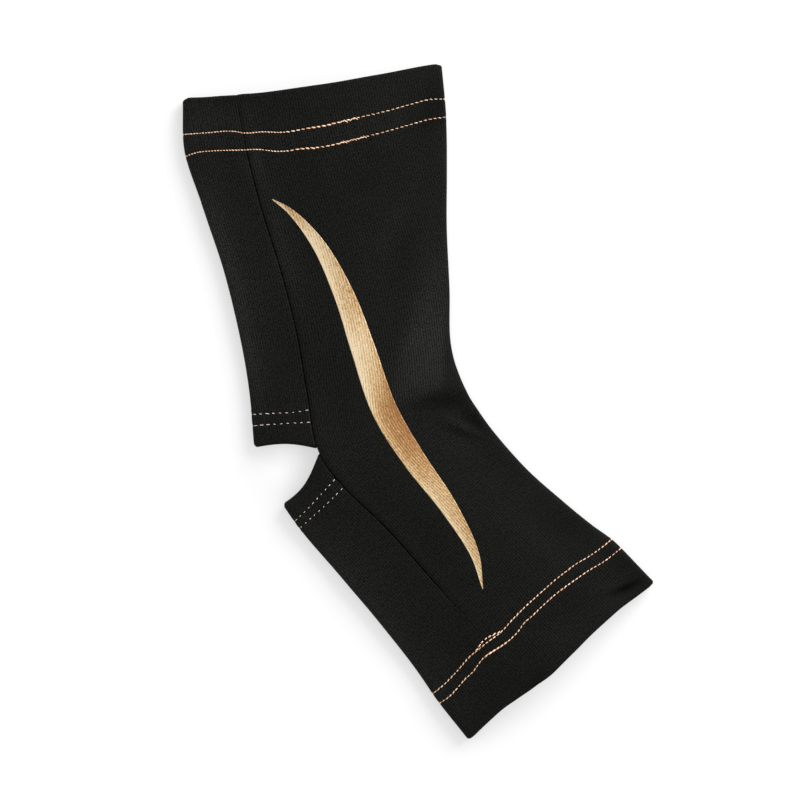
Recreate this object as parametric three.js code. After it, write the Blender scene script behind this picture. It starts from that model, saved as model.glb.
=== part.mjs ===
// Open-heel ankle support sleeve in knitted cloth, lying flat on its far side.
// Millimetres. +Z is up from the surface it lies on, +Y runs up the leg, +X points to the front of the foot.
import * as THREE from "three";

// Driving dimensions
const clothThickness = 1.1;
const pieceGap = 0.3;
const foldRadius = 3.0; // outside of the cloth, where the flattened tube turns over
const calfHemDepth = 28.0;
const footHemDepth = 30.5;
const heelHemDepth = 17.5;
const heelSlit = 3.4; // seam left bare between the two heel hems
const heelEdgeArch = 3.6; // how far each heel edge curves into its strip
const filmThickness = 0.3;
const filmTipWidth = 0.4;

// Facets
const stepsPerSection = 3;
const crownSteps = 9;
const stripSteps = 4;
const farSteps = 3;
const foldSteps = 6;
const hemSteps = 4;
const filmSteps = 36;
const filmColumns = 3;
const seamWalk = 0.01; // of a row

// Cross-sections of the leg, from the calf edge down to the heel. Each one runs from the fold behind the leg
// over the panel seam to the fold in front, all as x and y, and its near side rises to the crown height.
const legSections = [
  { at: "calf edge", back: [-93.8, 120.4], seam: [-72.6, 122.0], front: [9.6, 134.6], crown: 14.5 },
  { at: "hem foot", back: [-93.0, 99.0], seam: [-68.0, 99.0], front: [11.4, 113.4], crown: 14.5 },
  { at: "calf", back: [-86.2, 78.4], seam: [-62.4, 77.2], front: [11.8, 90.6], crown: 14.0 },
  { at: "mid leg", back: [-77.4, 51.6], seam: [-54.4, 51.2], front: [11.8, 66.4], crown: 13.5 },
  { at: "low leg", back: [-71.0, 25.6], seam: [-48.2, 27.2], front: [12.8, 43.6], crown: 13.5 },
  { at: "ankle", back: [-67.2, 3.2], seam: [-44.2, 3.6], front: [13.6, 22.0], crown: 14.0 },
  { at: "heel", back: [-64.6, -20.6], seam: [-39.4, -20.6], front: [17.6, 8.2], crown: 14.5 },
];

// Cross-sections of the foot, from the heel to the foot edge. Their back fold runs along the sole.
const footSections = [
  { at: "heel", back: [-54.4, -39.4], seam: [-39.4, -20.6], front: [17.6, 8.2], crown: 14.5 },
  { at: "instep", back: [-44.2, -54.8], seam: [-29.2, -34.6], front: [28.6, -10.0], crown: 14.5 },
  { at: "arch", back: [-30.2, -70.8], seam: [-13.8, -49.4], front: [42.6, -26.0], crown: 14.0 },
  { at: "mid foot", back: [-14.2, -90.0], seam: [2.2, -67.2], front: [58.6, -40.4], crown: 13.5 },
  { at: "fore foot", back: [-1.8, -106.0], seam: [16.8, -84.0], front: [70.4, -50.0], crown: 13.5 },
  { at: "hem foot", back: [6.2, -117.2], seam: [26.6, -96.6], front: [78.0, -55.6], crown: 14.0 },
  { at: "foot edge", back: [19.8, -134.6], seam: [43.4, -116.2], front: [93.8, -71.6], crown: 14.0 },
];

// Soft hollows pressed into the near side: a crease across the ankle bend and a dip on the shin.
const hollows = [
  { at: "ankle crease", x: 22.0, y: -10.0, heading: -42, reach: 20.0, width: 5.0, depth: 1.6 },
  { at: "shin dip", x: -8.0, y: 60.0, heading: 84, reach: 34.0, width: 12.0, depth: 0.7 },
];

// Middle line and width of the copper film, from its tip behind the leg to its tip on the foot.
const filmLine = [
  { x: -57.9, y: 80.4, width: filmTipWidth },
  { x: -50.5, y: 75.3, width: 2.4 },
  { x: -39.3, y: 62.0, width: 5.3 },
  { x: -29.1, y: 41.8, width: 8.0 },
  { x: -21.9, y: 21.3, width: 9.6 },
  { x: -13.3, y: -3.3, width: 10.1 },
  { x: -1.8, y: -22.6, width: 9.1 },
  { x: 12.2, y: -42.0, width: 6.8 },
  { x: 22.6, y: -60.7, width: 3.6 },
  { x: 26.0, y: -74.9, width: filmTipWidth },
];

const heelRow = legSections.length - 1;
const lastRow = heelRow + footSections.length - 1;
const allSections = [...legSections, ...footSections.slice(1)];

function track(rows, name) {
  return new THREE.CatmullRomCurve3(rows.map((row) => new THREE.Vector3(...row[name], row.crown)));
}

const seamLine = track(allSections, "seam");
const frontLine = track(allSections, "front");
const backLine = track(legSections, "back");
const soleLine = track(footSections, "back");

function flat(point) {
  return new THREE.Vector2(point.x, point.y);
}

// One cross-section at a row number, which may lie between two rows of the tables: a flat underside, a fold
// arc of the same radius at each end, and one crown arc tangent to both.
function sectionAt(row) {
  const share = THREE.MathUtils.clamp(row / lastRow, 0, 1);
  const seamPoint = seamLine.getPoint(share);
  const onFoot = row > heelRow;
  const backPoint = onFoot
    ? soleLine.getPoint((row - heelRow) / (lastRow - heelRow))
    : backLine.getPoint(row / heelRow);
  const back = flat(backPoint);
  const seam = flat(seamPoint);
  const front = flat(frontLine.getPoint(share));
  const crown = seamPoint.z;
  const seamAt = back.distanceTo(seam);
  const width = seamAt + seam.distanceTo(front);
  const reach = width / 2 - foldRadius;
  const rise = crown - foldRadius;
  const crownRadius = (reach ** 2 + rise ** 2 - foldRadius ** 2) / (2 * (crown - 2 * foldRadius));
  const foldAngle = Math.asin(reach / (crownRadius - foldRadius));
  const seamAngle = Math.asin((seamAt - width / 2) / crownRadius);
  return { back, seam, front, crown, seamAt, width, crownRadius, foldAngle, seamAngle };
}

// Place in plan of a distance across the section, measured from the back fold through the seam.
function planAt(section, across) {
  const { back, seam, front, seamAt, width } = section;
  return across < seamAt
    ? back.clone().lerp(seam, across / seamAt)
    : seam.clone().lerp(front, (across - seamAt) / (width - seamAt));
}

function hollowAt(x, y) {
  return hollows.reduce((sum, { x: midX, y: midY, heading, reach, width, depth }) => {
    const turn = THREE.MathUtils.degToRad(heading);
    const along = (x - midX) * Math.cos(turn) + (y - midY) * Math.sin(turn);
    const aside = (y - midY) * Math.cos(turn) - (x - midX) * Math.sin(turn);
    return sum + depth * Math.exp(-((along / reach) ** 2) - (aside / width) ** 2);
  }, 0);
}

function place(section, { across, height }) {
  const plan = planAt(section, across);
  const raised = THREE.MathUtils.clamp((height - 2 * foldRadius) / (section.crown - 2 * foldRadius), 0, 1);
  return new THREE.Vector3(plan.x, plan.y, height - raised * hollowAt(plan.x, plan.y));
}

// Spots of the section at a depth under the outside of the cloth. Side is 1 at the front and -1 at the back.
function crownSpot(section, angle, depth) {
  const radius = section.crownRadius - depth;
  const middle = section.crown - section.crownRadius;
  return { across: section.width / 2 + radius * Math.sin(angle), height: middle + radius * Math.cos(angle) };
}

function foldSpot(section, side, angle, depth) {
  const radius = foldRadius - depth;
  const middle = side > 0 ? section.width - foldRadius : foldRadius;
  return { across: middle + side * radius * Math.sin(angle), height: foldRadius + radius * Math.cos(angle) };
}

function steps(count, from, to) {
  return Array.from({ length: count + 1 }, (_, step) => from + ((to - from) * step) / count);
}

// The stretch of a section on one side of the seam, from the near seam over the fold to the far seam. Each
// entry takes a section and a depth and gives a spot.
function stretch(side, crownCount, seamClearance) {
  const nearSide = steps(crownCount, 0, 1).slice(0, -1).map((share) => (section, depth) => {
    const start = section.seamAngle + (side * seamClearance) / section.crownRadius;
    return crownSpot(section, start + (side * section.foldAngle - start) * share, depth);
  });
  const fold = steps(foldSteps, 0, 1).map((share) => (section, depth) => {
    return foldSpot(section, side, section.foldAngle + (Math.PI - section.foldAngle) * share, depth);
  });
  const farSide = steps(farSteps, 0, 1).slice(1).map((share) => (section, depth) => {
    const start = foldSpot(section, side, Math.PI, depth).across;
    const end = section.seamAt + side * seamClearance;
    return { across: start + (end - start) * share, height: depth };
  });
  return [...nearSide, ...fold, ...farSide];
}

// A wall of cloth between two depths over a grid of places, closed along its rims.
function wall(rows, columns, outerDepth, innerDepth, closed, placeAt) {
  const positions = [];
  for (const depth of [outerDepth, innerDepth]) {
    for (const row of rows) {
      for (const column of columns) {
        positions.push(...placeAt(row, column, depth).toArray());
      }
    }
  }
  const at = (layer, i, j) => (layer * rows.length + i) * columns.length + (j % columns.length);
  const faces = [];
  const quad = (a, b, c, d) => faces.push(a, b, c, a, c, d);
  const lastI = rows.length - 1;
  const lastJ = closed ? columns.length : columns.length - 1;
  for (let j = 0; j < lastJ; j += 1) {
    for (let i = 0; i < lastI; i += 1) {
      quad(at(0, i, j), at(0, i + 1, j), at(0, i + 1, j + 1), at(0, i, j + 1));
      quad(at(1, i, j), at(1, i, j + 1), at(1, i + 1, j + 1), at(1, i + 1, j));
    }
    quad(at(0, 0, j), at(0, 0, j + 1), at(1, 0, j + 1), at(1, 0, j));
    quad(at(0, lastI, j), at(1, lastI, j), at(1, lastI, j + 1), at(0, lastI, j + 1));
  }
  for (let i = 0; i < lastI && !closed; i += 1) {
    quad(at(0, i, 0), at(1, i, 0), at(1, i + 1, 0), at(0, i + 1, 0));
    quad(at(0, i, lastJ), at(0, i + 1, lastJ), at(1, i + 1, lastJ), at(1, i, lastJ));
  }
  const geometry = new THREE.BufferGeometry();
  geometry.setAttribute("position", new THREE.Float32BufferAttribute(positions, 3));
  geometry.setIndex(faces);
  geometry.computeVertexNormals();
  return geometry;
}

// Row number that lies a distance along the seam from a row.
function rowAlongSeam(row, distance) {
  const step = seamWalk * Math.sign(distance);
  let reached = row;
  let travelled = 0;
  let last = seamLine.getPoint(row / lastRow);
  while (travelled < Math.abs(distance)) {
    reached += step;
    const next = seamLine.getPoint(reached / lastRow);
    travelled += Math.hypot(next.x - last.x, next.y - last.y);
    last = next;
  }
  return reached;
}

const backEnd = rowAlongSeam(heelRow, -heelSlit / 2);
const soleStart = rowAlongSeam(heelRow, heelSlit / 2);
const calfHemRow = rowAlongSeam(0, calfHemDepth);
const footHemRow = rowAlongSeam(lastRow, -footHemDepth);
const backHemRow = rowAlongSeam(backEnd, -heelHemDepth);
const soleHemRow = rowAlongSeam(soleStart, heelHemDepth);
const archRows = heelEdgeArch / (heelHemDepth / (backEnd - backHemRow));

function plainPlace(row, column, depth) {
  const section = sectionAt(row);
  return place(section, column(section, depth));
}

// Near the heel the rows of a strip bend into it, most of all halfway from its fold to its seams.
function archedPlace(row, column, depth) {
  const section = sectionAt(row);
  const share = column(section, depth).across / section.seamAt;
  const fromHeel = row > heelRow ? row - soleStart : backEnd - row;
  const bulge = Math.sin(Math.PI * share) * Math.max(0, 1 - fromHeel) ** 2;
  return plainPlace(row + Math.sign(row - heelRow) * archRows * bulge, column, depth);
}

function rowsBetween(from, to) {
  return steps(Math.ceil((to - from) * stepsPerSection), from, to);
}

const frontColumns = stretch(1, crownSteps, pieceGap / 2);
const stripColumns = stretch(-1, stripSteps, pieceGap / 2).reverse();
const hemOuter = clothThickness + pieceGap;
const hemInner = hemOuter + clothThickness;

function panel(from, to, columns, placeAt) {
  return wall(rowsBetween(from, to), columns, 0, clothThickness, false, placeAt);
}

function ringHem(from, to) {
  const around = [...stretch(1, crownSteps, 0), ...stretch(-1, stripSteps, 0).reverse().slice(1, -1)];
  return wall(steps(hemSteps, from, to), around, hemOuter, hemInner, true, plainPlace);
}

function heelHem(from, to) {
  return wall(steps(hemSteps, from, to), stripColumns, hemOuter, hemInner, false, archedPlace);
}

// Copper film laid on the near side of a panel, which is found under each of its points.
function filmOn(carrier) {
  const knots = filmLine.map(({ x, y, width }) => new THREE.Vector3(x, y, width));
  const middle = new THREE.CatmullRomCurve3(knots);
  const down = new THREE.Vector3(0, 0, -1);
  const above = 100;
  const ray = new THREE.Raycaster();
  carrier.updateMatrixWorld();
  const heightAt = (x, y) => {
    ray.set(new THREE.Vector3(x, y, above), down);
    return ray.intersectObject(carrier)[0].point.z;
  };
  const acrossFilm = steps(filmColumns, 0.5, -0.5);
  const onCarrier = (share, across, depth) => {
    const point = middle.getPoint(share);
    const heading = middle.getTangent(share).setZ(0).normalize();
    const x = point.x + heading.y * across * point.z;
    const y = point.y - heading.x * across * point.z;
    return new THREE.Vector3(x, y, heightAt(x, y) + depth);
  };
  return wall(steps(filmSteps, 0, 1), acrossFilm, pieceGap + filmThickness, pieceGap, false, onCarrier);
}

function cloth(color) {
  return new THREE.MeshStandardMaterial({ color, roughness: 0.9, metalness: 0 });
}

function piece(name, geometry, material) {
  const mesh = new THREE.Mesh(geometry, material);
  mesh.name = name;
  return mesh;
}

const black = 0x1c1b1c;
const hemBlack = 0x161516;
const copper = 0xc9975f;

const frontPanel = piece("front_panel", panel(0, lastRow, frontColumns, plainPlace), cloth(black));
const backPanel = piece("back_panel", panel(0, backEnd, stripColumns, archedPlace), cloth(black));
const solePanel = piece("sole_panel", panel(soleStart, lastRow, stripColumns, archedPlace), cloth(black));
const calfHem = piece("calf_hem", ringHem(0, calfHemRow), cloth(hemBlack));
const footHem = piece("foot_hem", ringHem(footHemRow, lastRow), cloth(hemBlack));
const backHeelHem = piece("back_heel_hem", heelHem(backHemRow, backEnd), cloth(hemBlack));
const soleHeelHem = piece("sole_heel_hem", heelHem(soleStart, soleHemRow), cloth(hemBlack));
const accentStripe = piece(
  "accent_stripe",
  filmOn(frontPanel),
  new THREE.MeshStandardMaterial({ color: copper, roughness: 0.4, metalness: 0.8 }),
);

const sleeve = new THREE.Group();
sleeve.add(frontPanel, backPanel, solePanel, calfHem, footHem, backHeelHem, soleHeelHem, accentStripe);

export default sleeve;
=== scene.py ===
import math

import bpy
import numpy as np
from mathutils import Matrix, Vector
from mathutils.bvhtree import BVHTree
from mathutils.interpolate import poly_3d_calc


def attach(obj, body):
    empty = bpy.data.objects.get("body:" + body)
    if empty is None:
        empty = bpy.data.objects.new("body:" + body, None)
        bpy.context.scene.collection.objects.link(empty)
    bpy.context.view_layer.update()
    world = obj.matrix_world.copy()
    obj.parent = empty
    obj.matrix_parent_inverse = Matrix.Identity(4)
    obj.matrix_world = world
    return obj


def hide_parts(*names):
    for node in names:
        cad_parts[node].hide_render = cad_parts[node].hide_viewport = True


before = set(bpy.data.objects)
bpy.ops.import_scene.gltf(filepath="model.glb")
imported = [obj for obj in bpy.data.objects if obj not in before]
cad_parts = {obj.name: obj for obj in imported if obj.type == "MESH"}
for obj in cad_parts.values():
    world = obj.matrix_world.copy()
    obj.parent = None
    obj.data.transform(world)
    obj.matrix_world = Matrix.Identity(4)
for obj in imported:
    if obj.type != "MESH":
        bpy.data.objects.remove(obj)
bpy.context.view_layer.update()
mm = 0.001
dice = np.random.default_rng(11)  # same draws on every run

# The flattened sleeve, in millimetres. Each section runs from the fold behind the leg over the seam to the
# fold in front, as x and y, and ends with the height of its crown.
legSections = [
    ((-93.8, 120.4), (-72.6, 122.0), (9.6, 134.6), 14.5),  # calf edge
    ((-93.0, 99.0), (-68.0, 99.0), (11.4, 113.4), 14.5),
    ((-86.2, 78.4), (-62.4, 77.2), (11.8, 90.6), 14.0),
    ((-77.4, 51.6), (-54.4, 51.2), (11.8, 66.4), 13.5),
    ((-71.0, 25.6), (-48.2, 27.2), (12.8, 43.6), 13.5),
    ((-67.2, 3.2), (-44.2, 3.6), (13.6, 22.0), 14.0),
    ((-65.1, -20.6), (-39.4, -20.6), (17.6, 8.2), 14.5),  # heel
]
footSections = [
    ((-54.9, -39.8), (-39.4, -20.6), (17.6, 8.2), 14.5),  # heel
    ((-44.2, -54.8), (-29.2, -34.6), (28.6, -10.0), 14.5),
    ((-30.2, -70.8), (-13.8, -49.4), (42.6, -26.0), 14.0),
    ((-14.2, -90.0), (2.2, -67.2), (58.6, -40.4), 13.5),
    ((-1.8, -106.0), (16.8, -84.0), (70.4, -50.0), 13.5),
    ((6.2, -117.2), (26.6, -96.6), (78.0, -55.6), 14.0),
    ((19.8, -134.6), (43.4, -116.2), (93.8, -71.6), 14.0),  # foot edge
]
sleeve = {
    "cloth": 1.1,  # thickness
    "foldRadius": 3.0,  # where the flattened tube turns over
    "rimRadius": 1.25,  # outside of a turned edge
    "rimReturn": (1.6, 1.0, 0.45),  # rows of the turned cloth that shows inside an edge
    "rimSteps": 9,  # rows round a turned edge
    "bandStart": 0.15,  # from that turned cloth to the band
    "hemGap": 0.3,  # between a panel and the band inside it
    "backSlit": 2.2,  # seam left bare above the heel point, and below it
    "soleSlit": 0.7,
    "backArch": 1.4,  # how far a heel edge curves into its strip
    "soleArch": 2.4,
    "soleSkew": 1.5,  # how much farther from the heel the sole's edge is at its fold
    "heelArchReach": 24.0,  # how far into the strip these are felt
    "heelArchMost": 1.1,  # and how much at most, where the edge turns in
    "seamGap": 0.18,  # from the seam line to each panel
    "lapGap": 0.03,  # between a panel and a lap under it
    "seamRoll": 0.7,  # rounding of a panel's edge along the seam
    "rollDepth": 0.87,  # share of the thickness that it rounds off
    "seamLap": 5.0,  # cloth of a strip that lies under the front panel
    "calfCorner": 0.6,  # how far a mouth draws in at its two folds
    "footCorner": 0.25,
    "cornerReach": 2.6,
    # outline of the two mouths: share of the flat width, and how far the edge stands out there
    "calfEdge": [(0, 0.7), (0.07, 0.3), (0.15, 0.3), (0.22, 0), (0.3, -0.7), (0.4, -1.0), (0.52, -1.1),
                 (0.68, -0.9), (0.77, -0.45), (0.85, 0.05), (0.93, 0.4), (1, 0.5)],
    "footEdge": [(0, 1.5), (0.06, 0.6), (0.13, -0.2), (0.18, -0.6), (0.26, -0.25), (0.34, 0.4), (0.42, 1.0),
                 (0.5, 0.7), (0.58, 0.45), (0.66, 0), (0.76, -0.1), (0.83, 0), (0.91, 0.8), (1, 1.7)],
    "edgeReach": 10.0,  # how far from a mouth its outline is felt
    "nearEnds": (1.0, 1.7),  # turns over which the side that faces up ends
    "floorTurn": 1.8,  # from this turn on the cloth lies on the floor
}
heelRow = len(legSections) - 1
allSections = legSections + footSections[1:]


def smooth(low, high, value):
    share = np.clip((value - low) / (high - low), 0, 1)
    return share * share * (3 - 2 * share)


def throughKnots(knots, at):  # centripetal Catmull-Rom curve through a table of points
    knots = np.asarray(knots, float)
    padded = np.vstack([2 * knots[0] - knots[1], knots, 2 * knots[-1] - knots[-2]])
    at = np.asarray(at, float)
    left = np.clip(np.floor(at).astype(int), 0, len(knots) - 2)
    share = (at - left)[..., None]
    a, b, c, d = (padded[left + step] for step in range(4))
    ab, bc, cd = (np.sqrt(np.linalg.norm(q - p, axis=-1, keepdims=True))
                  for p, q in ((a, b), (b, c), (c, d)))
    enter = ((b - a) / ab - (c - a) / (ab + bc) + (c - b) / bc) * bc
    leave = ((c - b) / bc - (d - b) / (bc + cd) + (d - c) / cd) * bc
    square = 3 * (c - b) - 2 * enter - leave
    cube = 2 * (b - c) + enter + leave
    return b + share * (enter + share * (square + share * cube))


def profile(points, at):  # smooth curve through pairs, read by the first of each pair
    x, y = np.asarray(points, float).T
    step = np.diff(x)
    slope = np.diff(y) / step
    inner = (step[1:] * slope[:-1] + step[:-1] * slope[1:]) / (step[:-1] + step[1:])
    tangent = np.concatenate([slope[:1], inner, slope[-1:]])
    at = np.clip(at, x[0], x[-1])
    left = np.clip(np.searchsorted(x, at) - 1, 0, len(step) - 1)
    share = (at - x[left]) / step[left]
    rest = 1 - share
    enter = (y[left] * (1 + 2 * share) + tangent[left] * step[left] * share) * rest ** 2
    leave = (y[left + 1] * (1 + 2 * rest) - tangent[left + 1] * step[left] * rest) * share ** 2
    return enter + leave


def track(sections, column):
    return [section[column] + (section[3],) for section in sections]


seamTrack = track(allSections, 1)
frontTrack = track(allSections, 2)
backTrack = track(legSections, 0)
soleTrack = track(footSections, 0)


def backFold(row):
    onLeg = throughKnots(backTrack, np.minimum(row, heelRow))
    onFoot = throughKnots(soleTrack, np.maximum(row - heelRow, 0))
    return np.where((row > heelRow)[..., None], onFoot, onLeg)[..., :2]


# Distances along the seam from the calf edge, and the strip's width, which is eased over the heel
fineCount = 4801
easeRows = 160  # to each side
fineRows = np.linspace(0, len(allSections) - 1, fineCount)
fineSeam = throughKnots(seamTrack, fineRows)[:, :2]
fineAlong = np.concatenate([[0], np.cumsum(np.linalg.norm(np.diff(fineSeam, axis=0), axis=1))])
fineStrip = np.linalg.norm(backFold(fineRows) - fineSeam, axis=1)
easing = np.hanning(2 * easeRows + 1)
fineStrip = np.convolve(np.pad(fineStrip, easeRows, mode="edge"), easing / easing.sum(), mode="valid")
wholeLength = fineAlong[-1]
heelAlong = float(np.interp(heelRow, fineRows, fineAlong))
backEnd = heelAlong - sleeve["backSlit"]
soleStart = heelAlong + sleeve["soleSlit"]


def rowAt(along):
    firstPace = (fineRows[1] - fineRows[0]) / (fineAlong[1] - fineAlong[0])
    lastPace = (fineRows[-1] - fineRows[-2]) / (fineAlong[-1] - fineAlong[-2])
    inside = np.interp(along, fineAlong, fineRows)
    return inside + np.minimum(along, 0) * firstPace + np.maximum(along - wholeLength, 0) * lastPace


def sectionAt(row):  # flat underside, a fold arc at each end and one crown arc tangent to both
    row = np.asarray(row, float)
    seam = throughKnots(seamTrack, row)
    made = {"back": backFold(row), "seam": seam[..., :2], "front": throughKnots(frontTrack, row)[..., :2]}
    made["crown"] = seam[..., 2]
    made["strip"] = np.interp(row, fineRows, fineStrip)
    made["width"] = made["strip"] + np.linalg.norm(made["front"] - made["seam"], axis=-1)
    fold = sleeve["foldRadius"]
    reach = made["width"] / 2 - fold
    rise = made["crown"] - fold
    made["radius"] = (reach ** 2 + rise ** 2 - fold ** 2) / (2 * (made["crown"] - 2 * fold))
    made["foldAngle"] = np.arcsin(reach / (made["radius"] - fold))
    made["seamAngle"] = np.arcsin((made["strip"] - made["width"] / 2) / made["radius"])
    return made


# A place round a section has a side, 1 for the front panel or -1 for the strip, and a turn: 0 to 1 from the
# near seam to the fold, 1 to 2 round the fold, 2 to 3 from the fold to the far seam.
def spotAt(section, side, turn, depth):
    fold = sleeve["foldRadius"]
    angle = section["seamAngle"] + (side * section["foldAngle"] - section["seamAngle"]) * np.minimum(turn, 1)
    radius = section["radius"] - depth
    nearAcross = section["width"] / 2 + radius * np.sin(angle)
    nearHeight = section["crown"] - section["radius"] + radius * np.cos(angle)
    bend = section["foldAngle"] + (math.pi - section["foldAngle"]) * np.clip(turn - 1, 0, 1)
    middle = section["width"] - fold if side > 0 else fold + 0 * section["width"]
    foldAcross = middle + side * (fold - depth) * np.sin(bend)
    foldHeight = fold + (fold - depth) * np.cos(bend)
    farAcross = middle + (section["strip"] - middle) * np.maximum(turn - 2, 0)
    across = np.where(turn < 1, nearAcross, np.where(turn < 2, foldAcross, farAcross))
    height = np.where(turn < 1, nearHeight, np.where(turn < 2, foldHeight, depth + 0 * farAcross))
    return across, height


def nearShare(turn):  # 1 on the side that faces up, 0 on the side that lies on the floor
    return 1 - smooth(*sleeve["nearEnds"], turn)


# How much of a groove the seam is. The hems hold it shut: these are the shares of it that are left there, and
# the distances from the edge over which it opens.
seamGroove = {
    "calfEdge": 0.15, "calfEdgeOpens": (1.0, 6.0),
    "calfHem": 0.6, "calfHemOpens": (20.0, 26.0),
    "footHem": 0.03, "footHemOpens": (37.0, 62.0),
    "gapOpens": (3.0, 4.5),  # for the gap between the panels
}


def opening(least, span, distance):
    return least + (1 - least) * smooth(*span, distance)


def seamOpen(along):
    atRim = opening(seamGroove["calfEdge"], seamGroove["calfEdgeOpens"], along)
    inCalf = opening(seamGroove["calfHem"], seamGroove["calfHemOpens"], along)
    inFoot = opening(seamGroove["footHem"], seamGroove["footHemOpens"], wholeLength - along)
    return atRim * inCalf * inFoot


def seamGapAt(along):  # from the seam line to each panel, shut near the edges, where no lap lies under it
    toHeel = np.where(along < heelAlong, backEnd - along, along - soleStart)
    toEdge = np.minimum(np.minimum(along, wholeLength - along), toHeel)
    return sleeve["seamGap"] * smooth(*seamGroove["gapOpens"], toEdge) * seamOpen(along)


def edgeShift(along, across, width):  # moves the cloth near a mouth to the outline of that mouth
    share = across / width
    atFold = 1 - smooth(0, sleeve["cornerReach"], np.minimum(across, width - across))
    calfOut = profile(sleeve["calfEdge"], share) - sleeve["calfCorner"] * atFold
    footOut = profile(sleeve["footEdge"], share) - sleeve["footCorner"] * atFold
    reach = sleeve["edgeReach"]
    fromFoot = wholeLength - along
    return footOut * (1 - smooth(0, reach, fromFoot)) - calfOut * (1 - smooth(0, reach, along))


def place(side, turn, along, depth, strip):
    along = along + 0 * turn
    section = sectionAt(rowAt(along))
    across, _ = spotAt(section, side, turn, 0)
    along = along + edgeShift(along, across, section["width"])
    if strip:
        fromFold = np.clip(across / section["strip"], 0, 1)
        arch = np.sin(math.pi * fromFold)
        onSole = sleeve["soleArch"] * arch + sleeve["soleSkew"] * (1 - fromFold)
        bulge = np.where(along > heelAlong, onSole, sleeve["backArch"] * arch)
        fromHeel = np.where(along > heelAlong, along - soleStart, backEnd - along)
        felt = np.clip(1 - fromHeel / sleeve["heelArchReach"], 0, sleeve["heelArchMost"]) ** 2
        along = along + np.sign(along - heelAlong) * bulge * felt
    section = sectionAt(rowAt(along))
    across, height = spotAt(section, side, turn, depth)
    behind = (across / section["strip"])[..., None]
    ahead = ((across - section["strip"]) / (section["width"] - section["strip"]))[..., None]
    onStrip = section["back"] + (section["seam"] - section["back"]) * behind
    onFront = section["seam"] + (section["front"] - section["seam"]) * ahead
    plan = np.where(behind < 1, onStrip, onFront)
    return np.concatenate([plan, height[..., None]], axis=-1)


# Stitch rows of each hem: share of the flat width, or of the strip, and the distance from the edge
hems = {
    "calf": {
        "edge": 0.0, "inward": 1, "depth": 28.0, "strip": False,
        "rows": [
            [(0, 15.2), (0.08, 14.9), (0.196, 14.7), (0.25, 15.9), (0.295, 16.3), (0.378, 18.0),
             (0.478, 18.2), (0.543, 18.2), (0.653, 17.5), (0.761, 16.8), (0.867, 15.5), (0.94, 14.7),
             (1, 15.5)],
            [(0, 24.8), (0.03, 23.7), (0.06, 22.95), (0.09, 22.7), (0.13, 22.5), (0.2, 22.4), (0.24, 22.4),
             (0.282, 23.1), (0.348, 25.15), (0.383, 25.7), (0.455, 25.95), (0.493, 26.5), (0.538, 26.7),
             (0.647, 26.0), (0.756, 25.2), (0.862, 24.0), (0.935, 23.2), (1, 23.4)],
        ],
    },
    "foot": {
        "edge": wholeLength, "inward": -1, "depth": 30.5, "strip": False,
        "rows": [
            [(0, 20.7), (0.04, 19.9), (0.094, 20.1), (0.143, 20.7), (0.19, 20.7), (0.263, 21.8),
             (0.313, 21.1), (0.384, 20.5), (0.436, 20.8), (0.496, 22.2), (0.53, 22.27), (0.55, 22.4),
             (0.595, 22.8), (0.681, 23.1), (0.759, 22.6), (0.832, 21.9), (0.909, 20.5), (1, 20.1)],
            [(0, 26.1), (0.054, 25.5), (0.14, 25.6), (0.225, 26.2), (0.284, 25.6), (0.33, 25.4), (0.39, 25.2),
             (0.46, 26.3), (0.55, 27.4), (0.638, 28.1), (0.726, 28.65), (0.775, 28.58), (0.81, 28.5),
             (0.88, 27.2), (0.942, 26.6), (1, 26.6)],
        ],
    },
    "backHeel": {
        "edge": backEnd, "inward": -1, "depth": 17.5, "strip": True,
        "rows": [[(0, 8.4), (0.5, 9.0), (1, 10.4)], [(0, 13.3), (0.45, 13.7), (0.75, 14.2), (1, 15.4)]],
    },
    "soleHeel": {
        "edge": soleStart, "inward": 1, "depth": 17.5, "strip": True,
        "rows": [[(0, 8.2), (0.5, 9.3), (1, 11.6)], [(0, 11.7), (0.3, 12.8), (0.5, 13.9), (1, 16.4)]],
    },
}
# Soft shape of the near side
relief = {
    # ridges and hollows: x, y, heading, half length, half width and height
    "folds": [
        (4.0, 6.4, 24, 12.0, 3.6, 0.8),  # bunched cloth at the bend
        (11.0, -0.6, 6, 11.0, 3.4, -1.2),
        (19.0, -10.4, -25, 10.0, 2.2, 0.6),
        (15.8, -13.0, -20, 9.0, 2.0, -0.7),
        (22.0, -8.6, -40, 6.0, 3.0, -0.9),
        (34.0, -22.0, -38, 14.0, 4.5, 0.5),
        (-8.0, 56.0, 100, 30.0, 7.0, -0.6),  # shin
        (4.0, 32.0, 80, 16.0, 8.0, 0.5),
        (82.4, -75.2, 25, 6.5, 1.3, -1.1),  # foot corner
        (79.0, -77.0, 22, 9.0, 3.4, -0.6),
        (46.0, -112.6, 40, 6.0, 3.0, -0.7),  # by the foot edge
        (57.0, -94.0, 45, 10.0, 6.0, 0.5),
    ],
    # length, heading and height
    "waves": [(41.0, 63, 0.16), (29.0, -28, 0.13), (23.0, 12, 0.08), (57.0, -70, 0.18)],
    "hemStep": 0.28,  # a hem stands this much above the single cloth
    "hemFade": (1.0, 2.6),  # and comes down over this stretch past its inner row
    "hemBefore": 3.0,  # cloth ahead of an edge that still belongs to its hem
    "groove": 0.2,  # a stitch row pulls the cloth in
    "grooveWidth": 0.55,
    "pucker": 0.11,
    "puckerLength": 5.7,
    "puckerReach": 7.0,
    "puckerSway": (0.6, 9.1),  # how far and how slowly the puckers drift across
    "puckerSlant": 60.0,  # length in which they slip by a whole one
    "seamRidge": 0.22,  # the lap beside the seam
    "seamRidgeAt": 2.6,
    "seamRidgeWidth": 1.9,
}


def fromEdge(hem, along):
    return hem["inward"] * (along - hem["edge"])


def alongOf(hem, distance):
    return hem["edge"] + hem["inward"] * distance


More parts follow.
